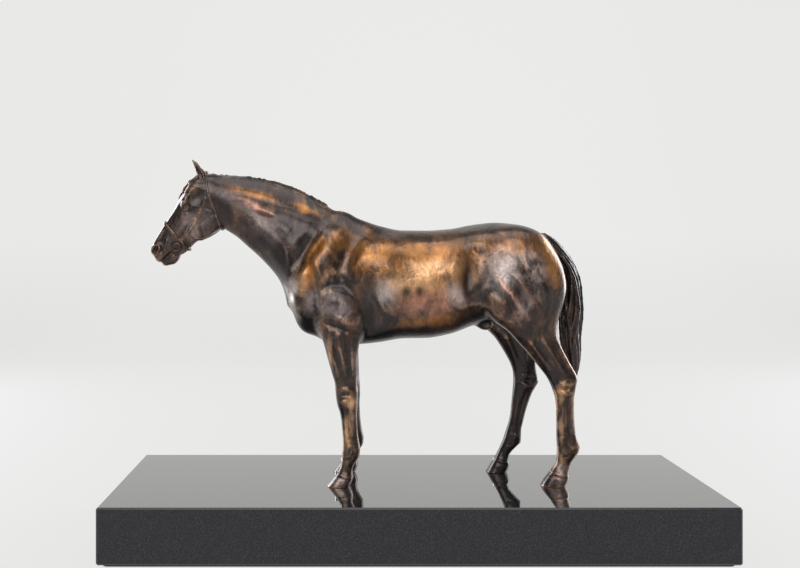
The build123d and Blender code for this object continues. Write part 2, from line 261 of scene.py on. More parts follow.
# Head forms. Rows: down the head, across, out from the axis, three radii, blend
HEAD_FORMS = [
    (14, 6.5, 3, 11, 6.5, 7, 4),             # brow
    (28, 12.2, 3.6, 6.5, 3.6, 3.2, 2.5),     # ridge over the eye
    (32.6, 11.6, -0.4, 3.9, 3.2, 3.1, 1.4),  # eye
    (36, 9, -22, 17, 5.4, 14, 4),            # cheek
    (28, 6, -31, 11, 6, 7.5, 5),             # angle of the jaw
    (56, 7.2, -8, 16, 1.9, 3, 4),            # facial crest
    (60, 4.6, 3, 22, 3, 3.2, 4),             # nasal bones
    (60, 4.4, -21, 14, 3.4, 4.6, 4),         # bars of the jaw
    (82.5, 6.4, -1.4, 6.2, 3.4, 4.8, 2),     # nostril
    (86, 3.6, -7.6, 5.6, 5.4, 6, 2.5),       # upper lip
    (86, 0, -14.6, 6, 5.8, 4.8, 2),          # lower lip
    (79.6, 0, -18.4, 8, 6.2, 5.6, 3),        # chin
]
HEAD_HOLLOWS = [
    (19, 18, -3, 7, 3.5, 4.4, 6),            # over the eye
    (84, 10.2, -0.4, 4.6, 3.6, 2.3, 1.2),    # inside the nostril
    (60, 12.8, -13.5, 12, 3.2, 3.8, 5),      # below the facial crest
    (47, 14.6, 3, 10, 3.4, 3.6, 4),          # beside the nose
    (66, 0, -26.5, 18, 3.2, 4, 3),           # between the bars of the jaw
]

# ---- Relief drawn in side view. Rows: radius, height, points -------------------------------


def carved(wider, deeper, lines):
    """Lines with their radii and heights scaled, to a tenth and a hundredth of a mm."""
    return [(round(radius * wider, 1), round(height * deeper, 2), points)
            for radius, height, points in lines]


BODY_RELIEF_FROM, BODY_RELIEF_FADE = 128, 16        # height, so that it leaves the legs alone
BODY_LINES = carved(1.45, 0.72, [
    (2, 1.5, [(-77, 248), (-84, 239), (-92, 229), (-100, 216), (-103, 203), (-106, 193), (-109, 176)]),
    (5, -2.2, [(-87, 247), (-97, 235), (-107, 218), (-112, 200)]),
    (2, 1.1, [(-88, 220), (-93, 213), (-87, 198), (-82, 186)]),
    (3.4, -1.2, [(-97, 208), (-97, 192), (-93, 178)]),
    (2.35, 0.76, [(-88, 172), (-86, 180), (-79, 185), (-67, 183), (-57, 175)]),
    (2.6, -1.4, [(-91, 180), (-92, 170), (-89, 160)]),
    (2.4, 1.8, [(-80, 165), (-72, 158.5), (-62, 154.5), (-54, 153.5)]),
    (2.6, -2.2, [(-86, 158), (-76, 152), (-63, 147.5), (-52, 147)]),
    (6, -2.4, [(-43, 140), (-41, 157), (-38, 176), (-34, 188)]),
    (4, 1.2, [(-38, 237), (-46, 224), (-54, 208), (-55, 196)]),
    (4, -1, [(-46, 240), (-56, 224), (-63, 208), (-66, 192)]),
    (3, -0.8, [(-29, 226), (-36, 212), (-42, 196), (-38, 186)]),
    (2.4, 0.9, [(-79, 202), (-73, 194), (-66, 190)]),
    (2.4, 0.9, [(-66, 204), (-62, 196), (-58, 190)]),
    (2.6, 1.8, [(28, 165), (42, 167), (54, 171), (63, 172), (70, 168), (78, 158), (86, 149)]),
    (6, -2, [(20, 152), (40, 156), (54, 160)]),
    (7, -1.8, [(50, 230), (50, 212), (54, 196), (61, 182)]),
    (1.9, 1.3, [(76, 206), (81, 190), (90, 180), (97, 173), (104, 163)]),
    (3, -1.3, [(84, 206), (91, 191), (101, 180), (108, 168)]),
    (1.9, 1.3, [(88, 202), (97, 194), (103, 187), (107, 176), (113, 165)]),
    (3, -1.3, [(96, 206), (107, 194), (113, 180), (119, 166)]),
    (3, -1.1, [(71, 200), (74, 186), (84, 176), (93, 167)]),
    (2, 0.9, [(104, 210), (116, 198), (122, 182), (124, 166)]),
    (4, -1.2, [(79, 239), (88, 231), (98, 222), (108, 212)]),
    (2.4, 1.4, [(74, 164), (86, 157.5), (98, 152.5), (106, 149)]),
    (3, -1.2, [(104, 143), (96, 147), (88, 152)]),
    (3.5, -1, [(128, 214), (134, 198), (134, 180), (130, 164)]),
    (2, 0.7, [(-10, 230), (8, 229), (28, 230), (44, 232)]),
    (5, -0.6, [(-24, 218), (-10, 208), (2, 196), (4, 182)]),
    (5, 0.6, [(-14, 224), (0, 212), (12, 198), (16, 182)]),
    (5, -0.5, [(4, 222), (16, 208), (26, 194), (29, 180)]),
    (2, 0.7, [(30, 178), (38, 171), (46, 176), (52, 172)]),
    (2, -0.7, [(34, 173), (42, 180), (48, 170)]),
])
NECK_LINES = carved(1.4, 0.8, [
    (4, -1.4, [(-186, 290), (-166, 286), (-142, 280), (-118, 271), (-96, 260)]),
    (3, 1.3, [(-176, 281), (-160, 281), (-140, 277), (-122, 271)]),
    (3, 1.2, [(-116, 270), (-101, 263), (-86, 254)]),
    (2.4, 1, [(-173, 273), (-160, 272), (-150, 269)]),
    (2.6, -1.2, [(-168, 277), (-150, 273), (-128, 265), (-104, 257), (-90, 250)]),
    (2.2, 1.3, [(-151, 263), (-139, 260), (-128, 255)]),
    (3, -1, [(-158, 266), (-146, 256), (-134, 249)]),
    (3, 1.3, [(-176, 262), (-164, 250), (-150, 237), (-137, 222), (-124, 207), (-116, 192)]),
    (3, -1.4, [(-178, 254), (-166, 243), (-152, 230), (-140, 216), (-129, 202), (-121, 188)]),
    (6, -1.6, [(-118, 241), (-107, 236), (-100, 232)]),
    (3, 1, [(-131, 250), (-121, 243), (-113, 235)]),
    (2, 0.9, [(-124, 226), (-119, 214), (-117, 203)]),
    (2, -0.9, [(-118, 226), (-114, 215), (-113, 204)]),
    (3, 0.8, [(-150, 248), (-138, 238), (-128, 226)]),
])
FORELEG_LINES = carved(1.15, 1.08, [
    (1.6, 1.1, [(-79, 150), (-79.5, 131), (-74, 116), (-71, 104)]),
    (1.8, -1.1, [(-75, 148), (-74.5, 131), (-70, 116), (-68, 104)]),
    (1.7, 1, [(-70, 144), (-69.5, 132), (-66.5, 120), (-64, 106)]),
    (1.8, -1, [(-64.5, 146), (-63, 130), (-60.5, 112), (-60, 98)]),
    (1.4, 0.8, [(-58, 140), (-57, 120), (-56, 100)]),
    (1.8, 0.9, [(-69, 91), (-64, 92), (-57, 91)]),
    (1.5, -0.7, [(-70, 86), (-63, 87), (-56, 86)]),
    (1.8, 0.8, [(-68, 80), (-61, 79)]),
    (1.3, -0.9, [(-61.5, 74), (-60.8, 60), (-60.5, 48), (-60, 40)]),
    (1.2, 0.5, [(-64.5, 72), (-64, 60), (-63.5, 46)]),
    (1.2, 0.5, [(-56.5, 72), (-56, 58), (-55.5, 46)]),
    (2.2, 0.6, [(-60, 34), (-56, 33)]),
    (1.3, -0.8, [(-64, 25), (-58, 27)]),
    (0.9, 0.55, [(-72.5, 12), (-66, 10.8), (-59, 9)]),
    (1, -0.4, [(-74, 9.6), (-67, 8.4), (-60, 6.8)]),
])
HINDLEG_LINES = carved(1.15, 1.04, [
    (1.8, 1, [(104, 143), (112, 132), (120, 121), (127, 111)]),
    (2, -1.1, [(110, 143), (118, 131), (127, 119), (134, 110)]),
    (1.7, 0.9, [(119, 143), (127, 130), (134, 119), (140, 110)]),
    (1.8, -1, [(129, 140), (136, 127), (142, 118), (147, 110)]),
    (1.7, 1.2, [(136, 138), (142, 127), (148, 116), (153, 106)]),
    (1.8, -1, [(137, 122), (141, 114), (147, 106)]),
    (2, 1, [(136, 98), (141, 96), (146, 99)]),
    (2, 0.9, [(139, 88), (146, 87), (151, 90)]),
    (1.6, -0.9, [(137, 92.5), (144, 92), (150, 95)]),
    (1.3, -0.9, [(145.5, 82), (145.5, 68), (146, 56), (147.5, 46)]),
    (1.3, 0.8, [(140.5, 78), (140.6, 64), (141, 50)]),
    (1.2, 0.6, [(149.6, 78), (149.8, 64), (150.6, 50)]),
    (2.2, 0.6, [(147, 37), (152, 36)]),
    (1.3, -0.8, [(140, 28), (147, 29)]),
    (0.9, 0.55, [(129, 13.6), (137, 12), (146, 10)]),
    (1, -0.4, [(127, 11), (136, 9.4), (146, 7.6)]),
])


def head_line(*places):
    return [on_head(t, v) for t, v in places]


HEAD_LINES = [
    (0.9, 0.5, head_line((28.6, 0.4), (30.4, 2.6), (33.6, 2.8), (37, 0.4))),          # upper lid
    (0.8, 0.35, head_line((28.8, 0.2), (31, -2.9), (34.4, -3.2), (36.8, 0.2))),        # lower lid
    (0.8, -0.7, head_line((28, -1.4), (31, -5), (35.4, -5.2), (38.6, -1.6))),
    (1, -0.8, head_line((26.4, 4.4), (30.6, 5.6), (35.4, 4.6))),
    (1.5, 0.4, head_line((44, -7.4), (52, -8.6), (60, -9.4), (66, -9.2))),            # facial crest
    (1.2, -0.7, head_line((44, -11.4), (54, -12.4), (64, -12.6))),
    (2, -0.6, head_line((50, -21.5), (49.5, -28), (44, -34))),                        # front of the cheek
    (1.6, -0.7, head_line((22, -16), (20, -24), (23, -32))),                          # back of the cheek
    (0.8, 1, head_line((79.4, 2.2), (84, 4.2), (88.4, 1.2), (88.8, -3.4), (85.4, -5.6))),  # nostril
    (0.9, -0.8, head_line((77, -1), (79, -4.4), (83, -6.6))),
    (0.8, -0.8, head_line((71, -14.4), (78, -13.6), (86, -12), (94, -11))),           # mouth
    (1.1, 0.7, head_line((72, -11.6), (74.4, -16), (73, -19.4))),                     # corner of the mouth
    (1, -0.5, head_line((64, 1.6), (72, 0.4), (77, 1))),
    (1.2, 0.6, head_line((62, 4.2), (70, 3), (76, 3.4))),
    (2, 0.3, head_line((40, -14), (34, -18), (28, -17))),
    (2, -0.3, head_line((43, -17), (38, -22), (30, -24))),
    (1.1, 0.5, head_line((45, 2), (52, 0), (58, 0))),
    (1.2, 0.5, head_line((68, -3), (72, -5), (76, -5))),
]

# ---- Sculpting --------------------------------------------------------------------------


def follow(stations, table):
    """Each of a table's columns at the stations asked for, as smooth curves that don't overshoot."""
    rows = np.array(sorted(table), float)
    known = rows[:, 0]
    at = np.clip(stations, known[0], known[-1])
    k = np.clip(np.searchsorted(known, at) - 1, 0, len(known) - 2)
    gap = np.diff(known)
    x = (at - known[k]) / gap[k]
    before, after = 2 * gap[1:] + gap[:-1], gap[1:] + 2 * gap[:-1]
    columns = []
    for y in rows.T[1:]:
        rise = np.diff(y) / gap
        slope = np.zeros(len(known))
        slope[0], slope[-1] = rise[0], rise[-1]
        same_way = rise[1:] * rise[:-1] > 0
        with np.errstate(divide="ignore", invalid="ignore"):
            mean = (before + after) / (before / rise[:-1] + after / rise[1:])
        slope[1:-1] = np.where(same_way, mean, 0)
        column = (1 + 2 * x) * (1 - x) ** 2 * y[k] + x * (1 - x) ** 2 * gap[k] * slope[k]
        column += x * x * (3 - 2 * x) * y[k + 1] + x * x * (x - 1) * gap[k] * slope[k + 1]
        columns.append(column)
    return columns


def join(a, b, blend):
    """The union of two distance fields, with a fillet about as wide as the blend."""
    h = np.maximum(blend - np.abs(a - b), 0) / blend
    return np.minimum(a, b) - h * h * blend * 0.25


def cut(a, b, blend):
    """Field a with field b taken away."""
    return -join(-a, b, blend)


def relief_map(x, z, lines):
    """Height of the relief over the side view. Each line rises and dies away along its length."""
    relief = np.zeros(np.broadcast(x, z).shape, np.float32)
    for radius, height, points in lines:
        nearest, reached = np.full(relief.shape, 1e6), np.zeros(relief.shape)
        passed = 0
        for (ax, az), (bx, bz) in zip(points[:-1], points[1:]):
            run = np.array((bx - ax, bz - az), float)
            length = math.hypot(*run)
            t = np.clip(((x - ax) * run[0] + (z - az) * run[1]) / (run @ run), 0, 1)
            gap = (x - ax - t * run[0]) ** 2 + (z - az - t * run[1]) ** 2
            reached = np.where(gap < nearest, passed + t * length, reached)
            nearest = np.minimum(nearest, gap)
            passed += length
        fade = np.sin(np.pi * np.clip(reached / passed, 0.02, 0.98)) ** 0.6
        relief += height * fade * np.exp(-nearest / radius ** 2)
    return relief


class Clay:
    """A block of distances to the surface, in mm, negative inside it."""

    def __init__(self, low, high, step):
        self.low, self.step = np.array(low, float), step
        x, y, z = (np.arange(a, b + step, step, dtype=np.float32) for a, b in zip(low, high))
        self.x, self.y, self.z = x[:, None, None], y[None, :, None], z[None, None, :]
        self.d = np.full((len(x), len(y), len(z)), 40, np.float32)

    def limb(self, table, blend, start=(0, 0), run=None, side=1, shift=None, lines=(), ridges=None):
        """Adds a limb through its sections.

        With a run the limb goes that way in side view and its sections are symmetrical.
        Without one it is a leg: its stations are heights.
        """
        x, z = self.x + 0 * self.z, self.z + 0 * self.x
        if run is not None:
            along = (x - start[0]) * run[0] + (z - start[1]) * run[1]
            out = (z - start[1]) * run[0] - (x - start[0]) * run[1]
            if run[0] < 0:
                out = -out
            low, high, wide, half_width, square_low, square_high = follow(along, table)
            middle = 0
        else:
            along, out = z, x
            low, high, middle, half_width, square_low = follow(along, table)
            if shift is not None:
                out = x - shift(z)
            wide, square_high = (low + high) / 2, square_low
            middle = middle * side
        rise = out - wide
        reach = np.maximum(np.where(rise > 0, high - wide, wide - low), 0.05)
        square = np.where(rise > 0, square_high, square_low)
        across = self.y - middle
        radius = np.sqrt(across ** 2 + rise ** 2) + 1e-4
        share = (np.abs(across) / np.maximum(half_width, 0.05)) ** square + (np.abs(rise) / reach) ** square
        d = radius - radius / np.maximum(share, 1e-9) ** (1 / square)
        stations = [row[0] for row in table]
        d = np.maximum(d, np.maximum(min(stations) - along, along - max(stations)))
        if lines:
            side_on = np.clip(np.abs(across) / half_width * 1.6 - 0.2, 0, 1)
            d = d - relief_map(x - (shift(z) if shift else 0), z, lines) * side_on
        if ridges is not None:
            d = d - ridges(np.arctan2(across / half_width, rise / reach), along)
        self.d = join(self.d, d.astype(np.float32), blend)

    def near(self, low, high):
        """The part of the block between two corners, or None if they miss it."""
        inside = tuple((axis.ravel() > a) & (axis.ravel() < b)
                       for axis, a, b in zip((self.x, self.y, self.z), low, high))
        if not all(n.any() for n in inside):
            return None
        return tuple(slice(n.argmax(), len(n) - n[::-1].argmax()) for n in inside)

    def form(self, centre, radii, tilt, blend, hollow=False):
        """Adds or takes away an ellipsoid, and its mirror image when it is to one side."""
        sides = (-1, 1) if centre[1] else (1,)
        reach = max(radii) + 2 * blend + 2
        turn = math.radians(tilt)
        for side in sides:
            middle = (centre[0], side * centre[1], centre[2])
            window = self.near([c - reach for c in middle], [c + reach for c in middle])
            if window is None:
                continue
            dx = self.x[window[0]] - middle[0]
            dy = self.y[:, window[1]] - middle[1]
            dz = self.z[:, :, window[2]] - middle[2]
            p = (dx * math.cos(turn) + dz * math.sin(turn), dy, dz * math.cos(turn) - dx * math.sin(turn))
            k0 = np.sqrt(sum((q / r) ** 2 for q, r in zip(p, radii)))
            k1 = np.sqrt(sum((q / r ** 2) ** 2 for q, r in zip(p, radii))) + 1e-6
            d = (k0 * (k0 - 1) / k1).astype(np.float32)
            self.d[window] = (cut if hollow else join)(self.d[window], d, blend)

    def strand(self, points, radii, blend, flat=1.0):
        """Adds a round or flattened strand along points, tapering from one radius to the next."""
        points = [np.array(p, float) for p in points]
        for a, b, ra, rb in zip(points[:-1], points[1:], radii[:-1], radii[1:]):
            reach = max(ra, rb) + 2 * blend + 1
            window = self.near(np.minimum(a, b) - reach, np.maximum(a, b) + reach)
            if window is None:
                continue
            dx = self.x[window[0]] - a[0]
            dy = self.y[:, window[1]] - a[1]
            dz = self.z[:, :, window[2]] - a[2]
            run = b - a
            t = np.clip((dx * run[0] + dy * run[1] + dz * run[2]) / (run @ run), 0, 1)
            gap = np.sqrt((dx - t * run[0]) ** 2 + ((dy - t * run[1]) / flat) ** 2 + (dz - t * run[2]) ** 2)
            d = (gap - (ra + (rb - ra) * t)).astype(np.float32)
            self.d[window] = join(self.d[window], d, blend)


def surface(d, low, step):
    """Vertices and outward quads of the zero surface of a block of distances."""
    inside = d < 0
    nx, ny, nz = d.shape
    corners = [(i, j, k) for i in (0, 1) for j in (0, 1) for k in (0, 1)]
    filled = sum(inside[i:nx - 1 + i, j:ny - 1 + j, k:nz - 1 + k].astype(np.int8) for i, j, k in corners)
    active = (filled > 0) & (filled < 8)
    cells = np.argwhere(active)
    number = np.full(active.shape, -1, np.int64)
    number[active] = np.arange(len(cells))
    total, count = np.zeros((len(cells), 3)), np.zeros(len(cells))
    value = [d[cells[:, 0] + i, cells[:, 1] + j, cells[:, 2] + k] for i, j, k in corners]
    for a, start in enumerate(corners):
        for b, end in enumerate(corners[a + 1:], a + 1):
            way = np.subtract(end, start)
            if np.abs(way).sum() != 1:
                continue
            crosses = (value[a] < 0) != (value[b] < 0)
            t = np.where(crosses, value[a] / np.where(crosses, value[a] - value[b], 1), 0)
            total += np.where(crosses[:, None], start + t[:, None] * way, 0)
            count += crosses
    vertices = low + (cells + total / count[:, None]) * step
    quads = []
    for axis in range(3):
        u, v = (axis + 1) % 3, (axis + 2) % 3
        first, second = [slice(None)] * 3, [slice(None)] * 3
        first[axis], second[axis] = slice(0, -1), slice(1, None)
        edges = np.argwhere(inside[tuple(first)] != inside[tuple(second)])
        edges = edges[(edges[:, u] > 0) & (edges[:, v] > 0)
                      & (edges[:, u] < d.shape[u] - 1) & (edges[:, v] < d.shape[v] - 1)]
        ring = []
        for i, j in ((1, 1), (0, 1), (0, 0), (1, 0)):
            cell = edges.copy()
            cell[:, u] -= i
            cell[:, v] -= j
            ring.append(number[cell[:, 0], cell[:, 1], cell[:, 2]])
        quad = np.array(ring).T
        outward = inside[edges[:, 0], edges[:, 1], edges[:, 2]]
        quad[~outward] = quad[~outward][:, ::-1]
        quads.append(quad)
    return vertices, np.concatenate(quads)


def off_fore_shift(z):
    return OFF_FORE_SET_BACK - OFF_FORE_LEAN * z


def carried(lines, table, other):
    """Lines drawn on one leg, moved to the same places on a leg with another pose."""
    moved = []
    for radius, height, points in lines:
        new_points = []
        for x, z in points:
            low, high = (c[0] for c in follow(np.array([z]), table)[:2])
            new_low, new_high = (c[0] for c in follow(np.array([z]), other)[:2])
            new_points.append((new_low + (x - low) / (high - low) * (new_high - new_low), z))
        moved.append((radius, height, new_points))
    return moved


def add_forms(clay, rows, hollow=False):
    for *centre, rx, ry, rz, tilt, blend in rows:
        clay.form(centre, (rx, ry, rz), tilt, blend, hollow)


def add_head_forms(clay, rows, hollow=False):
    for t, y, v, rt, ry, rv, blend in rows:
        x, z = on_head(t, v)
        clay.form((x, y, z), (rt, ry, rv), HEAD_TILT, blend, hollow)


def add_horse(clay):
    """The whole horse but for its tail, ears and hair. Each block of clay holds part of it."""
    x, z = clay.x + 0 * clay.z, clay.z + 0 * clay.x
    clay.limb(TORSO, 1, run=(1, 0))
    clay.limb(NECK, 12, NECK_START, NECK_RUN)
    clay.limb(HEAD, 5, HEAD_START, HEAD_RUN)
    add_forms(clay, TORSO_FORMS)
    clay.limb(FORELEG, 7, lines=FORELEG_LINES)
    clay.limb(FORELEG, 7, side=-1, shift=off_fore_shift, lines=FORELEG_LINES)
    clay.limb(HINDLEG_LEFT, 8, lines=HINDLEG_LINES)
    clay.limb(HINDLEG_RIGHT, 8, lines=carried(HINDLEG_LINES, HINDLEG_LEFT, HINDLEG_RIGHT))
    add_forms(clay, HOLLOWS, hollow=True)
    add_head_forms(clay, HEAD_FORMS)
    add_head_forms(clay, HEAD_HOLLOWS, hollow=True)
    # Relief fades out towards the middle plane, where the two sides meet
    relief = relief_map(x, z, BODY_LINES + NECK_LINES)
    relief = relief * np.clip((z - BODY_RELIEF_FROM) / BODY_RELIEF_FADE, 0, 1)
    clay.d -= relief * np.clip(np.abs(clay.y) / 14 - 0.3, 0, 1)
    clay.d -= relief_map(x, z, HEAD_LINES) * np.clip(np.abs(clay.y) / 5 - 0.4, 0, 1)


def add_ears_and_forelock(clay, random):
    """Two hollow ears, and locks of hair that lie on the forehead between them."""
    clay.form((-202.8, 7.4, 295), (9, 2.9, 3.7), 121, 2.4)
    clay.form((-208, 8.3, 303.6), (7, 1.5, 1.7), 119, 2)
    clay.form((-204.6, 10.2, 297.6), (7, 1.7, 1.9), 119, 0.9, hollow=True)
    for lock in range(11):
        y = (lock - 5) * 1.25
        reach = random.uniform(22, 33)
        places = []
        for t, v in ((-4, 4.4), (4, 8.8), (12, 11.2), (19, 12.1), (reach, 10.9)):
            x, z = on_head(t + random.uniform(-1.5, 1.5), v + random.uniform(-0.7, 0.5))
            places.append((x, y + random.uniform(-1.3, 1.3), z))
        clay.strand(places, (1.6, 1.7, 1.6, 1.3, 0.5), 0.6)


def neck_point(t, v, across=1, proud=0.0):
    """A point on the neck's skin, from its section there, a little proud of it."""
    low, high, wide, half_width, square_low, square_high = (c[0] for c in follow(np.array([t]), NECK))
    reach, square = (high - wide, square_high) if v > wide else (wide - low, square_low)
    share = min(abs(v - wide) / reach, 1) ** square
    y = half_width * (1 - share) ** (1 / square)
    (x0, z0), (ux, uz) = NECK_START, NECK_RUN
    return x0 + t * ux - v * uz, across * (y + proud), z0 + t * uz + v * ux


def add_mane(clay, random):
    """Hair that parts on the crest and lies down the right side of the neck."""
    for root in np.arange(-12, 97, 2.1):
        crest = follow(np.array([root]), NECK)[1][0]
        length = random.uniform(17, 25)
        drift = random.uniform(-3, 5)
        places = [neck_point(root, crest - 2.2, -1, 0.1), neck_point(root + 0.4, crest - 0.2, 1, 0.2)]
        for share in (0.3, 0.65, 1):
            t = root + drift * share + random.uniform(-1, 1)
            top = follow(np.array([t]), NECK)[1][0]
            places.append(neck_point(t, top - length * share, 1, 0.5))
        clay.strand(places, (0.8, random.uniform(1.3, 2.3), 1.9, 1.6, 0.6), 0.5)


def tail_ridges(angle, along):
    """Ridges of hair that run down the tail and wave a little."""
    wave = np.sin(5.5 * angle + 0.05 * along + 1.1 * np.sin(0.09 * along))
    fine = np.sin(13 * angle - 0.06 * along + 0.8 * np.sin(0.13 * along + 2))
    return 0.75 * np.abs(wave) + 0.35 * np.abs(fine) - 0.7


def add_tail(clay, random):
    clay.limb(TAIL, 0.5, ridges=tail_ridges)
    for lock in range(9):
        side = random.uniform(-1, 1)
        phase = random.uniform(0, 6)
        places = []
        for z in range(226, 104, -10):
            low, high, _, half_width, _ = (c[0] for c in follow(np.array([float(z)]), TAIL))
            angle = side * 2.6 + 0.35 * math.sin(z * 0.05 + phase)
            x = (low + high) / 2 + (high - low) * 0.52 * math.cos(angle)
            places.append((x, half_width * math.sin(angle), z))
        radii = np.interp(range(len(places)), (0, 4, len(places)), (0.9, 1.7, 0.6))
        clay.strand(places, radii, 0.9)


# ---- Meshes in Blender ------------------------------------------------------------------


def near_end(end):
    """Tests whether an x is at the head's end (-1) or the tail's (1) of the horse. 0 is both."""
    return lambda x: end == 0 or (x < 0) == (end < 0)


def place(vertices):
    """From millimetres on the horse as drawn to metres in the frame."""
    placed = np.array(vertices, float) * SCALE
    placed[:, 2] += BASE_TOP
    return placed


def neighbours(quads, size):
    """Both ends of every edge, and how many edges end at each vertex."""
    a, b = np.concatenate([quads[:, [i, (i + 1) % 4]] for i in range(4)]).T
    count = np.bincount(a, minlength=size) + np.bincount(b, minlength=size)
    return a, b, np.maximum(count, 1)[:, None]


def averaged(vertices, a, b, count):
    """The mean of each vertex's neighbours."""
    size = len(vertices)
    total = [np.bincount(a, vertices[b, i], size) + np.bincount(b, vertices[a, i], size) for i in range(3)]
    return np.stack(total, 1) / count


def wear_of(vertices, quads, rounds):
    """How far each vertex stands out from its surroundings: above 0 on ridges, below in hollows."""
    corner = vertices[quads]
    face = np.cross(corner[:, 2] - corner[:, 0], corner[:, 3] - corner[:, 1])
    normals = np.zeros_like(vertices)
    for i in range(4):
        np.add.at(normals, quads[:, i], face)
    normals /= np.linalg.norm(normals, axis=1, keepdims=True) + 1e-9
    around = neighbours(quads, len(vertices))
    smooth = vertices
    for _ in range(rounds):
        smooth = averaged(smooth, *around)
    return ((vertices - smooth) * normals).sum(1)


def relaxed(vertices, quads, amount=0.5):
    """One round of smoothing that takes the grid's steps out."""
    return vertices + amount * (averaged(vertices, *neighbours(quads, len(vertices))) - vertices)


def linked(name, data):
    """A new object in the scene."""
    made = bpy.data.objects.new(name, data)
    bpy.context.scene.collection.objects.link(made)
    return made


def write_layer(mesh, label, values):
    layer = mesh.attributes.new(label, "FLOAT", "POINT")
    layer.data.foreach_set("value", values.astype(np.float32))


def clay_object(name, clay, planes=(), steps=(0.6, 3.0)):
    """The clay's surface as an object, cut flat at planes (point, way cut off, test of the x it cuts at).

    The steps are how far off, in mm, fine and broad wear compare a vertex with its surroundings.
    """
    vertices, quads = surface(clay.d, clay.low, clay.step)
    vertices = relaxed(vertices, quads)
    fine = wear_of(vertices, quads, max(int((steps[0] / clay.step) ** 2 * 2), 2))
    broad = wear_of(vertices, quads, max(int((steps[1] / clay.step) ** 2), 4))
    mesh = bpy.data.meshes.new(name)
    mesh.from_pydata(place(vertices).tolist(), [], quads.tolist())
    write_layer(mesh, "fine_wear", fine)
    write_layer(mesh, "broad_wear", broad)
    mesh.shade_smooth()
    if planes:
        form = bmesh.new()
        form.from_mesh(mesh)
        for point, normal, only in planes:
            faces = [f for f in form.faces if only(f.calc_center_median().x)]
            parts = set(faces) | {e for f in faces for e in f.edges} | {v for f in faces for v in f.verts}
            result = bmesh.ops.bisect_plane(form, geom=list(parts), plane_co=place([point])[0],
                                            plane_no=normal, clear_outer=True)
            rim = [e for e in result["geom_cut"] if isinstance(e, bmesh.types.BMEdge)]
            filled = bmesh.ops.triangle_fill(form, edges=rim, use_beauty=True)
            for edge in rim:
                edge.smooth = False
            for face in filled["geom"]:
                if isinstance(face, bmesh.types.BMFace):
                    face.smooth = False
        bmesh.ops.recalc_face_normals(form, faces=form.faces)
        form.to_mesh(mesh)
        form.free()
    return linked(name, mesh)


def seat(piece, material, slot_name, *nodes):
    """Gives a piece its material and body, and hides the CAD nodes that it stands for. Its slot name is not
    used.
    """
    piece.data.materials.clear()
    piece.data.materials.append(material)
    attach(piece, "root")
    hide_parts(*nodes)


# The castings. Rows: CAD node, block low and high corner, step, flat cuts (a point on the plane,
# the way that is cut off, and which end of the horse it holds for), and what is in the block
NECK_SEAM = (NECK_START[0] + 100 * NECK_RUN[0], 0, NECK_START[1] + 100 * NECK_RUN[1])
TO_HEAD, TO_BODY = (-NECK_RUN[0], 0, -NECK_RUN[1]), (NECK_RUN[0], 0, NECK_RUN[1])
HEAD_SEAM, HEAD_SIDE, NECK_SIDE = (-183.5, 0, 270), (-0.989, 0, -0.15), (0.989, 0, 0.15)
FORE_SEAM, HIND_SEAM = 128, 134
UP, DOWN = (0, 0, 1), (0, 0, -1)
CASTINGS = [
    ("body_casting", (-131, -46, 124), (151, 46, 268), 1.12,
     [(NECK_SEAM, TO_HEAD, -1), ((0, 0, FORE_SEAM), DOWN, -1), ((0, 0, HIND_SEAM), DOWN, 1)], "mane"),
    ("neck_casting", (-193, -31, 184), (-70, 33, 300), 0.7,
     [(NECK_SEAM, TO_BODY, 0), (HEAD_SEAM, HEAD_SIDE, 0)], "mane"),
    ("head_casting", (-255, -20, 203), (-170, 20, 312), 0.45, [(HEAD_SEAM, NECK_SIDE, 0)], "mane ears"),
    ("foreleg_left", (-95, -43, -2), (-44, -9, 133), 0.55, [((0, 0, FORE_SEAM), UP, 0)], ""),
    ("foreleg_right", (-92, 9, -2), (-40, 43, 133), 0.55, [((0, 0, FORE_SEAM), UP, 0)], ""),
    ("hindleg_left", (96, -43, -2), (162, -9, 139), 0.55, [((0, 0, HIND_SEAM), UP, 0)], ""),
    ("hindleg_right", (72, 9, -2), (136, 43, 139), 0.55, [((0, 0, HIND_SEAM), UP, 0)], ""),
]
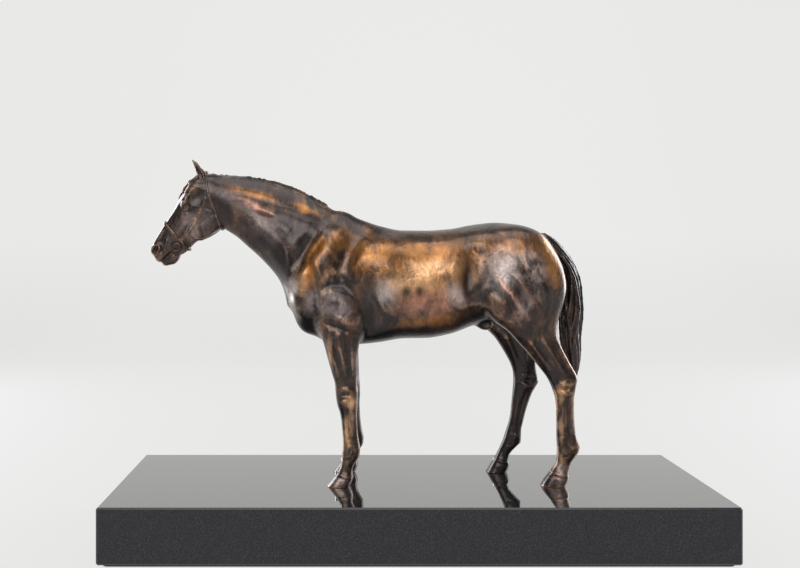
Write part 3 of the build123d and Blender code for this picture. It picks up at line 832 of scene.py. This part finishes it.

# Colours brought out in the patina, with painted shade under the body and painted highlights on the barrel
# and the rim of the breast. Rows: x, z, reach in x and z, tilt in degrees, strength, colour
GOLD, ORANGE, ROSE = (0.80, 0.46, 0.24), (0.38, 0.155, 0.035), (0.45, 0.205, 0.13)
COPPER = (0.64, 0.36, 0.19)
GREY, PEARL = (0.28, 0.22, 0.215), (0.46, 0.39, 0.37)
UMBER, DARK = (0.055, 0.038, 0.034), (0.018, 0.014, 0.014)
TINTS = [
    (-150, 258, 56, 26, -32, 0.6, UMBER),     # neck
    (16, 212, 54, 28, 0, 0.8, ORANGE),        # barrel
    (-26, 214, 20, 22, 0, 0.5, ORANGE),
    # gold patina with a painted highlight in the middle of the barrel
    (2, 196, 30, 12, 8, 0.7, GOLD),
    (30, 208, 22, 9, 0, 0.5, GOLD),
    (14, 171, 28, 13, 6, 0.8, ROSE),          # lower barrel
    (20, 156, 34, 6, 6, 0.6, ORANGE),
    (-28, 184, 11, 12, 0, 0.65, PEARL),
    (39, 182, 8, 12, 20, 0.6, PEARL),
    (94, 228, 32, 10, -8, 0.55, ORANGE),      # croup
    (128, 212, 8, 26, 14, 0.75, ORANGE),
    (-47, 216, 7, 20, -12, 0.6, ORANGE),      # behind the shoulder
    (-94, 214, 8, 26, -24, 0.85, ORANGE),     # shoulder
    (-106, 192, 6, 14, 0, 0.25, GOLD),
    (-74, 206, 7, 14, -20, 0.25, GOLD),
    (-68, 228, 10, 16, -20, 0.4, ORANGE),
    (-98, 174, 8, 8, 0, 0.5, GREY),
    (-146, 275, 26, 4, -14, 0.65, ORANGE),
    (-100, 261, 16, 4, -24, 0.65, ORANGE),
    (-140, 243, 20, 7, -42, 0.35, GREY),
    (-150, 264, 16, 3.5, -24, 0.5, ROSE),
    (82, 200, 18, 21, 0, 0.75, PEARL),        # thigh
    (112, 200, 12, 20, 0, 0.5, PEARL),
    (102, 170, 14, 20, -20, 0.45, ROSE),
    (100, 189, 22, 4.2, -59, 0.6, DARK),
    (85, 176, 19, 3.6, -56, 0.45, DARK),
    (93, 178, 25, 2.4, -54, 0.8, ROSE),
    (106, 183, 15, 2.2, -57, 0.8, ROSE),
    (116, 158, 21, 7, 68, 0.5, UMBER),
    (-70, 6, 14, 12, 0, 0.4, GREY),           # hooves
    (136, 5, 16, 9, 0, 0.35, GREY),
    (-62, 80, 8, 5, 0, 0.65, COPPER),         # knee, forearm and cannon
    (-78, 126, 2.6, 15, -6, 0.6, COPPER),
    (-62, 52, 2.6, 15, 0, 0.65, COPPER),
    (138, 89, 9, 9, 20, 0.6, COPPER),         # hock, cannon and gaskin
    (139, 56, 2.8, 17, 4, 0.75, COPPER),
    (129, 117, 5, 10, 30, 0.5, ORANGE),
    # painted shade under the flank, by the stifle
    (66, 153, 12, 7, 10, 0.9, DARK),
    (-72, 167, 12, 8, 0, 0.6, GREY),          # triceps
    (-7, 184, 4.2, 4.6, 0, 0.8, DARK),        # dark spots in the barrel
    (5, 184, 3.6, 4.8, 0, 0.8, DARK),
    (8, 163, 4, 5, 0, 0.6, DARK),
    (28, 197, 4, 4, 0, 0.6, DARK),
    (-40, 190, 8, 8, 0, 0.6, DARK),
    (52, 192, 6, 26, 4, 0.85, DARK),          # flank
    # painted shade under the flank fold
    (58, 158, 20, 7, 8, 0.85, DARK),
    (-12, 139, 60, 9, 0, 0.9, DARK),          # belly underside, painted shade
    (-43, 155, 9, 22, 0, 0.9, DARK),          # behind the elbow
    (-62, 190, 8, 13, 0, 0.6, DARK),
    (-106, 150, 14, 12, 30, 0.8, DARK),       # under the breast, painted shade
    (-128, 216, 12, 10, -50, 0.6, DARK),
    (-190, 262, 14, 26, 0, 0.55, DARK),
    (-217, 264, 4, 3.4, 0, 0.9, DARK),        # eye
    (-206, 302, 9, 12, 0, 0.5, DARK),         # ear
    (-238, 236, 14, 14, 0, 0.7, DARK),        # muzzle
    (-212, 244, 22, 14, 40, 0.45, GREY),      # cheek
    (103, 172, 9, 12, -20, 0.65, PEARL),
    (-113, 185, 5, 12, 0, 0.6, PEARL),        # painted highlight on the rim of the breast
    (2, 165, 18, 8, 0, 0.35, UMBER),
    (40, 235, 72, 9, 0, 0.65, UMBER),         # loins
    (20, 247, 130, 5, 0, 0.5, UMBER),         # topline
]


def tinted(vertices):
    """Colour and strength of the patina's tints at each vertex, by its place in side view."""
    x, z = vertices[:, 0], vertices[:, 2]
    colour, strength = np.zeros((len(x), 3)), np.zeros(len(x))
    for cx, cz, rx, rz, tilt, full, paint in TINTS:
        turn = math.radians(tilt)
        u = ((x - cx) * math.cos(turn) + (z - cz) * math.sin(turn)) / rx
        v = ((z - cz) * math.cos(turn) - (x - cx) * math.sin(turn)) / rz
        weight = full * np.exp(-(u * u + v * v) ** 1.3)
        colour = colour * (1 - weight)[:, None] + weight[:, None] * np.array(paint)
        strength = strength * (1 - weight) + weight
    return colour / np.maximum(strength, 1e-3)[:, None], strength


# ---- Materials --------------------------------------------------------------------------


class Shader:
    """A node material, built one node at a time."""

    def __init__(self, name):
        self.material = bpy.data.materials.new(name)
        self.material.use_nodes = True
        self.tree = self.material.node_tree
        self.surface = self.tree.nodes["Principled BSDF"]

    def node(self, kind, settings=None, **inputs):
        made = self.tree.nodes.new(kind)
        for name, value in (settings or {}).items():
            setattr(made, name, value)
        for name, value in inputs.items():
            self.feed(made, name.replace("_", " "), value)
        return made

    def feed(self, node, name, value):
        socket = node.inputs[int(name)] if name.isdigit() else node.inputs[name]
        if isinstance(value, bpy.types.NodeSocket):
            self.tree.links.new(value, socket)
        else:
            socket.default_value = value

    def math(self, operation, a, b=0.0, c=0.0):
        made = self.tree.nodes.new("ShaderNodeMath")
        made.operation = operation
        for index, value in enumerate((a, b, c)):
            self.feed(made, str(index), value)
        return made.outputs[0]

    def steps(self, value, *stops):
        """A value turned to another by straight steps: (from, to, from, to)."""
        low, high, to_low, to_high = stops
        made = self.node("ShaderNodeMapRange", {"clamp": True}, Value=value)
        for name, number in (("From Min", low), ("From Max", high), ("To Min", to_low), ("To Max", to_high)):
            made.inputs[name].default_value = number
        return made.outputs[0]

    def noise(self, scale, detail=4, roughness=0.55, distortion=0.0, stretch=(1, 1, 1), turn=(0, 0, 0)):
        where = self.node("ShaderNodeTexCoord").outputs["Object"]
        mapping = self.node("ShaderNodeMapping", Vector=where, Scale=stretch, Rotation=turn)
        made = self.node("ShaderNodeTexNoise", Vector=mapping.outputs[0], Scale=scale, Detail=detail,
                         Roughness=roughness, Distortion=distortion)
        return made.outputs["Fac"]

    def mix(self, share, a, b, way="MIX"):
        made = self.tree.nodes.new("ShaderNodeMix")
        made.data_type, made.blend_type = "RGBA", way
        for index, value in ((0, share), (6, a), (7, b)):
            self.feed(made, str(index), value)
        return made.outputs[2]

    def attribute(self, name, output="Fac"):
        return self.node("ShaderNodeAttribute", {"attribute_name": name}).outputs[output]

    def set(self, **values):
        for name, value in values.items():
            self.feed(self.surface, name.replace("_", " "), value)


def rgb(r, g, b):
    return (r, g, b, 1)


def patina(name):
    """Waxed brown patina, brushed on in streaks and rubbed to copper and gold where it stands proud."""
    s = Shader(name)
    strokes = s.noise(46, 6, 0.62, 0.9, (1, 0.8, 0.6), (0, 0.65, 0))
    streaks = s.noise(95, 5, 0.6, 0.7, (1, 0.8, 0.5), (0, -0.6, 0))
    blotches = s.noise(24, 5, 0.6, 0.5)
    fine = s.noise(330, 5, 0.65, 0.4)
    base = s.mix(s.steps(strokes, 0.42, 0.60, 0, 1), rgb(0.036, 0.024, 0.021), rgb(0.150, 0.082, 0.050))
    base = s.mix(s.steps(blotches, 0.42, 0.58, 0, 0.7), base, rgb(0.036, 0.030, 0.031))
    edge = s.math("MULTIPLY_ADD", s.math("SUBTRACT", strokes, 0.5), 2.6, s.attribute("tint_strength"))
    edge = s.math("MULTIPLY_ADD", s.math("SUBTRACT", blotches, 0.5), 1.6, edge)
    # tints: patina colours, with some painted shade and painted highlights among them
    base = s.mix(s.steps(edge, 0.12, 0.85, 0, 0.95), base, s.attribute("tint", "Color"))
    mottle = s.math("MULTIPLY", s.steps(fine, 0.35, 0.65, 0.84, 1.14),
                    s.steps(streaks, 0.36, 0.64, 0.72, 1.24))
    mottle = s.node("ShaderNodeCombineColor", Red=mottle, Green=mottle, Blue=mottle).outputs[0]
    base = s.mix(1.0, base, mottle, "MULTIPLY")
    base = s.mix(s.steps(s.attribute("broad_wear"), -1.0, -0.08, 0.9, 0), base, rgb(0.014, 0.011, 0.011))
    rubbed = s.math("MULTIPLY_ADD", s.attribute("broad_wear"), 0.25, s.attribute("fine_wear"))
    rubbed = s.math("MULTIPLY_ADD", s.math("SUBTRACT", streaks, 0.54), 0.5, rubbed)
    rubbed = s.math("MULTIPLY", s.steps(rubbed, 0.02, 0.24, 0, 1), s.steps(strokes, 0.42, 0.58, 0.2, 1))
    bright = s.mix(s.steps(blotches, 0.4, 0.6, 0, 1), rgb(0.68, 0.39, 0.28), rgb(0.76, 0.46, 0.25))
    base = s.mix(s.math("MULTIPLY", rubbed, s.attribute("rub")), base, bright)
    base = s.mix(s.steps(s.attribute("fine_wear"), -0.12, -0.015, 0.9, 0), base, rgb(0.012, 0.009, 0.009))
    # Darkening: darker patina on some pieces, and painted shade on the far right legs
    base = s.mix(s.attribute("dark_patina_and_shade"), base, rgb(0.018, 0.015, 0.016))
    height = s.math("MULTIPLY_ADD", fine, 0.22, s.math("MULTIPLY_ADD", streaks, 0.5, strokes))
    bump = s.node("ShaderNodeBump", Height=height, Strength=0.5, Distance=0.0022)
    s.set(Base_Color=base, Metallic=0.88, Roughness=s.steps(strokes, 0.3, 0.7, 0.30, 0.42),
          Normal=bump.outputs[0], Coat_Weight=0.45, Coat_Roughness=0.2, Coat_IOR=1.5)
    return s.material


def black_granite():
    """Black granite, polished on top, honed on its sides, with a fine grey speckle. The top is pale grey
    metal, a painted reflection.
    """
    s = Shader("black_granite")
    speckle = s.noise(760, 4, 0.8)
    cloud = s.noise(120, 4, 0.6)
    colour = s.mix(s.steps(speckle, 0.46, 0.66, 0, 1), rgb(0.001, 0.001, 0.002), rgb(0.046, 0.041, 0.054))
    colour = s.mix(s.steps(cloud, 0.35, 0.65, 0, 0.5), colour, rgb(0.006, 0.006, 0.009))
    normal = s.node("ShaderNodeNewGeometry").outputs["Normal"]
    up = s.node("ShaderNodeSeparateXYZ", Vector=normal).outputs["Z"]
    on_top = (up, 0.75, 0.95)
    # painted reflection: the top is pale grey and metallic
    colour = s.mix(s.steps(*on_top, 0, 1), colour, rgb(0.245, 0.245, 0.24))
    s.set(Base_Color=colour, Metallic=s.steps(*on_top, 0, 0.96),
          Roughness=s.steps(*on_top, 0.3, 0.03), IOR=1.5)
    return s.material


def felt():
    s = Shader("base_felt")
    fibres = s.noise(1400, 4, 0.7)
    colour = s.mix(s.steps(fibres, 0.35, 0.65, 0, 1), rgb(0.010, 0.012, 0.011), rgb(0.032, 0.036, 0.033))
    bump = s.node("ShaderNodeBump", Height=fibres, Strength=0.5, Distance=0.0004)
    s.set(Base_Color=colour, Roughness=0.95, Normal=bump.outputs[0], Sheen_Weight=0.3, Sheen_Roughness=0.5)
    return s.material


def zinc():
    s = Shader("zinc_steel")
    grain = s.noise(700, 4, 0.6)
    colour = s.mix(s.steps(grain, 0.3, 0.7, 0, 1), rgb(0.50, 0.50, 0.49), rgb(0.66, 0.66, 0.63))
    s.set(Base_Color=colour, Metallic=1.0, Roughness=s.steps(grain, 0.3, 0.7, 0.26, 0.40))
    return s.material


bronze, bridle_bronze = patina("bronze_patina"), patina("bridle_bronze")
granite, base_cloth, steel = black_granite(), felt(), zinc()

# ---- The castings -----------------------------------------------------------------------


DARKEST_RUBBED = 0.06       # a tint's mean colour below which the metal is less and less rubbed


def tint(piece, rub=1.0, dark_patina_and_shade=0.0, share=1.0):
    """Writes a share of the patina's tints on a piece, how far it is rubbed, and how far it is darkened, as
    darker patina and, on the far legs, as painted shade.
    """
    places = np.zeros(len(piece.data.vertices) * 3)
    piece.data.vertices.foreach_get("co", places)
    places = places.reshape(-1, 3)
    places[:, 2] -= BASE_TOP
    colour, strength = tinted(places / SCALE)
    strength = share * strength
    layer = piece.data.attributes.new("tint", "FLOAT_COLOR", "POINT")
    with_alpha = np.hstack([colour, np.ones((len(colour), 1))])
    layer.data.foreach_set("color", with_alpha.astype(np.float32).ravel())
    write_layer(piece.data, "tint_strength", strength)
    dark = strength * np.clip(1 - colour.mean(1) / DARKEST_RUBBED, 0, 1)
    for label, value in (("rub", rub * (1 - dark)), ("dark_patina_and_shade", np.full(len(dark), dark_patina_and_shade))):
        write_layer(piece.data, label, value)


# How far the patina is rubbed through, and how dark it is left. The right legs, on the far side, are left
# dark and little rubbed: painted shade.
RUBBED = {"body_casting": (0.42, 0), "neck_casting": (0.42, 0), "head_casting": (0.5, 0.15),
          "foreleg_left": (0.65, 0), "foreleg_right": (0.4, 0.6),
          "hindleg_left": (0.65, 0), "hindleg_right": (0.25, 0.75)}

for node, low, high, step, cuts, hair in CASTINGS:
    clay = Clay(low, high, step)
    add_horse(clay)
    if "mane" in hair:
        add_mane(clay, random.Random(11))
    if "ears" in hair:
        add_ears_and_forelock(clay, random.Random(3))
    planes = [(point, normal, near_end(end)) for point, normal, end in cuts]
    casting = clay_object("cast_" + node.replace("_casting", ""), clay, planes)
    tint(casting, *RUBBED[node])
    seat(casting, bronze, "bronze_patina", node)

tail_clay = Clay((120, -14, 92), (171, 14, 242), 0.6)
add_tail(tail_clay, random.Random(8))
tail = clay_object("cast_tail", tail_clay)
tint(tail, 0.3, 0.66)
seat(tail, bronze, "bronze_patina", "tail_casting")

# ---- Bridle -----------------------------------------------------------------------------
# Rows: CAD node, first and last place in side view, whether it runs on over the first place and
# round past the last, and which side it is on (0 is both)
STRAPS = [
    ("bridle_headpiece", (-198.8, 297), (-195.7, 277.4), True, False, 0),
    ("bridle_browband", (-213.2, 286.4), (-196.9, 279.8), True, False, 0),
    ("bridle_throatlash", (-194.9, 275.9), (-184.9, 247.7), False, True, 0),
    ("bridle_noseband", (-239.2, 249.3), (-217.1, 224.7), True, True, 0),
    ("bridle_cheekpiece_left", (-197.6, 273.4), (-223.6, 230.4), False, False, -1),
    ("bridle_cheekpiece_right", (-197.6, 273.4), (-223.6, 230.4), False, False, 1),
]
STRAP_HALF_WIDTH, STRAP_STEP = 1.3, 0.32
STRAP_RISE, NOSEBAND_RISE, STRAP_SINK = 1.15, 1.84, 0.35        # above the skin, and into it
RUN_ON = 8                      # how far a strap runs past a place that it goes round
CHEEKPIECE_BOW = 3.2
for node, first, last, over, under, side in STRAPS:
    first, last = np.array(first), np.array(last)
    length = np.linalg.norm(last - first)
    run = (last - first) / length
    reach_first, reach_last = (RUN_ON if over else 1), (RUN_ON if under else 1)
    ends = np.array([first - run * reach_first, last + run * reach_last])
    low, high = ends.min(0) - 6, ends.max(0) + 6
    y_low, y_high = (-20 if side <= 0 else 6), (20 if side >= 0 else -6)
    clay = Clay((low[0], y_low, low[1]), (high[0], y_high, high[1]), STRAP_STEP)
    add_horse(clay)
    x, z = clay.x + 0 * clay.z, clay.z + 0 * clay.x
    along = (x - first[0]) * run[0] + (z - first[1]) * run[1]
    off = (x - first[0]) * run[1] - (z - first[1]) * run[0]
    if side:
        off = off + CHEEKPIECE_BOW * np.sin(math.pi * np.clip(along / length, 0, 1))
    off = np.abs(off)
    slab = off - STRAP_HALF_WIDTH
    if not over:
        slab = np.maximum(slab, -along)
    if not under:
        slab = np.maximum(slab, along - length)
    rise = NOSEBAND_RISE if over and under else STRAP_RISE
    shell = np.abs(clay.d - (rise - STRAP_SINK) / 2) - (rise + STRAP_SINK) / 2
    clay.d = cut(shell, -(slab + 0 * clay.y), 0.8).astype(np.float32)
    strap = clay_object(node.replace("bridle", "strap"), clay, steps=(0.5, 1.5))
    rub, dark_patina_and_shade = (1.0, 0) if side else (0.65 if over and under else 0.4, 0.1)
    tint(strap, rub, dark_patina_and_shade, share=0.3)
    seat(strap, bridle_bronze, "bridle_bronze", node)


def swept(name, path, across, closed=True):
    """A bar of one section swept round a path in XZ. Rows of across: out from the path, along Y."""
    path, across = np.array(path, float), np.array(across, float)
    ahead, behind = np.roll(path, -1, 0), np.roll(path, 1, 0)
    way = ahead - behind
    way /= np.linalg.norm(way, axis=1, keepdims=True)
    out = np.stack([way[:, 2], np.zeros(len(way)), -way[:, 0]], 1)
    if ((path - path.mean(0)) * out).sum() < 0:
        out = -out
    vertices = path[:, None] + across[None, :, :1] * out[:, None] + across[None, :, 1:] * np.array((0, 1, 0))
    n, m = len(path), len(across)
    faces = [(i * m + j, i * m + (j + 1) % m, (i + 1) % n * m + (j + 1) % m, (i + 1) % n * m + j)
             for i in range(n) for j in range(m)]
    mesh = bpy.data.meshes.new(name)
    mesh.from_pydata(place(vertices.reshape(-1, 3)).tolist(), [], faces)
    form = bmesh.new()
    form.from_mesh(mesh)
    bmesh.ops.recalc_face_normals(form, faces=form.faces)
    form.to_mesh(mesh)
    form.free()
    mesh.shade_smooth()
    write_layer(mesh, "fine_wear", np.full(len(mesh.vertices), 0.12))
    write_layer(mesh, "broad_wear", np.zeros(len(mesh.vertices)))
    piece = linked(name, mesh)
    tint(piece, 0.5, 0.4)
    return piece


def turns(count):
    """Angles evenly round a circle."""
    return np.arange(count) * math.tau / count


def drawn_box(node):
    """The centre and half sizes of a node's box, in millimetres on the horse as drawn."""
    low, high = (np.array(corner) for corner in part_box(node))
    centre = (low + high) / 2
    centre[2] -= BASE_TOP
    return centre / SCALE, (high - low) / 2 / SCALE


ROUND = np.array([(math.cos(a), math.sin(a)) for a in turns(14)])
for node in ("bit_ring_left", "bit_ring_right"):
    centre, half = drawn_box(node)
    wire = half[1]
    circle = [centre + (half[0] - wire) * np.array((math.cos(a), 0, math.sin(a))) for a in turns(48)]
    ring = swept(node.replace("bit_", "bit_wire_"), circle, ROUND * wire)
    seat(ring, bridle_bronze, "bridle_bronze", node)

BUCKLE_RUN, BUCKLE_ACROSS = np.array((0.517, 0, 0.856)), np.array((0.856, 0, -0.517))
BUCKLE_HALF_LENGTH, BUCKLE_HALF_WIDTH, BUCKLE_SQUARE = 2.1, 1.8, 5
TONGUE_HALF_LENGTH, TONGUE_HALF_WIDTH, TONGUE_ALONG = 1.9, 0.2, 0.3
BUCKLE_WIRE, TONGUE_WIRE = (0.4, 0.45), (0.22, 0.25)        # half sizes of the section
buckle_place = drawn_box("bridle_buckles")[0] + BUCKLE_ACROSS * CHEEKPIECE_BOW
buckle_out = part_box("bridle_buckles")[1][1] / SCALE - BUCKLE_WIRE[1]
buckles = []
for side in (-1, 1):
    centre = np.array((buckle_place[0], side * buckle_out, buckle_place[2]))
    frame_path, tongue_path = [], []
    for turn in turns(40):
        u, v = math.cos(turn), math.sin(turn)
        grow = (abs(u) ** BUCKLE_SQUARE + abs(v) ** BUCKLE_SQUARE) ** (-1 / BUCKLE_SQUARE)
        frame_path.append(centre + BUCKLE_RUN * u * grow * BUCKLE_HALF_LENGTH
                          + BUCKLE_ACROSS * v * grow * BUCKLE_HALF_WIDTH)
    for turn in turns(24):
        tongue_path.append(centre + BUCKLE_RUN * (TONGUE_ALONG + math.cos(turn) * TONGUE_HALF_LENGTH)
                           + BUCKLE_ACROSS * math.sin(turn) * TONGUE_HALF_WIDTH)
    buckles.append(swept(f"buckle_{side}", frame_path, ROUND * BUCKLE_WIRE))
    buckles.append(swept(f"tongue_{side}", tongue_path, ROUND * TONGUE_WIRE))
with bpy.context.temp_override(active_object=buckles[0], selected_editable_objects=buckles):
    bpy.ops.object.join()
buckles[0].name = "strap_buckles"
seat(buckles[0], bridle_bronze, "bridle_bronze", "bridle_buckles")

# ---- Base, felt and fixings keep their CAD shape ------------------------------------------
AS_IN_CAD = {"granite_base": (granite, "black_granite"), "felt_base_cover": (base_cloth, "base_felt"),
             "hoof_studs": (steel, "zinc_steel"), "stud_washers": (steel, "zinc_steel"),
             "stud_nuts": (steel, "zinc_steel")}
for node, (material, slot_name) in AS_IN_CAD.items():
    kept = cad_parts[node]
    kept.data.materials.clear()
    kept.data.materials.append(material)

# ---- Camera, light and stage ------------------------------------------------------------
scene = bpy.context.scene
camera_data = bpy.data.cameras.new("camera")
camera_data.lens, camera_data.sensor_width = 42.66, 36
camera_data.shift_x, camera_data.shift_y = 0.0725, -0.0475
camera_data.clip_start, camera_data.clip_end = 0.01, 50
camera_data.dof.use_dof = False
camera = linked("camera", camera_data)
camera.location = (-0.0669, -0.924, BASE_TOP + 0.2264)
camera.rotation_euler = (math.radians(90), 0, 0)
scene.camera = camera
scene.view_settings.view_transform = "Standard"


def soft_light(name, place_at, aim, size, power, colour=(1, 1, 1)):
    data = bpy.data.lights.new(name, "AREA")
    data.shape, data.size, data.size_y, data.energy, data.color = "RECTANGLE", size[0], size[1], power, colour
    light = linked(name, data)
    light.location = place_at
    light.rotation_euler = (Vector(aim) - Vector(place_at)).to_track_quat("-Z", "Y").to_euler()


HORSE = (0, 0, 0.25)
soft_light("window_front", (-0.5, -1.8, 1.3), HORSE, (1.8, 1.1), 24, (1, 0.98, 0.95))
soft_light("ceiling", (0, -0.5, 2.0), HORSE, (1.8, 1.2), 16)
soft_light("strip_rear_left", (-1.2, 0.85, 0.45), HORSE, (0.6, 1.2), 19, (0.86, 0.93, 1))
soft_light("strip_rear_right", (1.4, 0.75, 0.55), HORSE, (0.9, 1.2), 22, (0.86, 0.93, 1))

world = bpy.data.worlds.new("room")
world.use_nodes = True
world.node_tree.nodes["Background"].inputs["Color"].default_value = (0.96, 0.97, 1, 1)
world.node_tree.nodes["Background"].inputs["Strength"].default_value = 0.22
scene.world = world

# The backdrop glows instead of being lit, a little dimmer on the floor than up the wall: painted shade low
# down.
backdrop_glow = Shader("pale_wall")
tone = backdrop_glow.noise(0.8, 2, 0.5)
here = backdrop_glow.node("ShaderNodeTexCoord").outputs["Object"]
height = backdrop_glow.node("ShaderNodeSeparateXYZ", Vector=here).outputs["Z"]
wall_colour = backdrop_glow.mix(tone, rgb(0.030, 0.030, 0.0295), rgb(0.036, 0.036, 0.0355))
backdrop_glow.set(Base_Color=wall_colour, Roughness=0.9, Emission_Color=rgb(0.81, 0.81, 0.795),
               Emission_Strength=backdrop_glow.steps(height, 0, 0.3, 0.875, 0.96))
FLOOR_FRONT, FLOOR_BACK, WALL_CURVE, WALL_TOP, STAGE_HALF_WIDTH = -3, 1.2, 0.5, 3.22, 3.2
profile = [(FLOOR_FRONT, 0)]
for turn in range(9):
    angle = math.radians(turn * 90 / 8)
    profile.append((FLOOR_BACK + WALL_CURVE * math.sin(angle), WALL_CURVE * (1 - math.cos(angle))))
profile.append((FLOOR_BACK + WALL_CURVE, WALL_TOP))
vertices = [(x, y, z) for y, z in profile for x in (-STAGE_HALF_WIDTH, STAGE_HALF_WIDTH)]
faces = [(2 * i, 2 * i + 1, 2 * i + 3, 2 * i + 2) for i in range(len(profile) - 1)]
backdrop_mesh = bpy.data.meshes.new("backdrop")
backdrop_mesh.from_pydata(vertices, [], faces)
backdrop_mesh.shade_smooth()
backdrop_mesh.materials.append(backdrop_glow.material)
backdrop = linked("backdrop", backdrop_mesh)
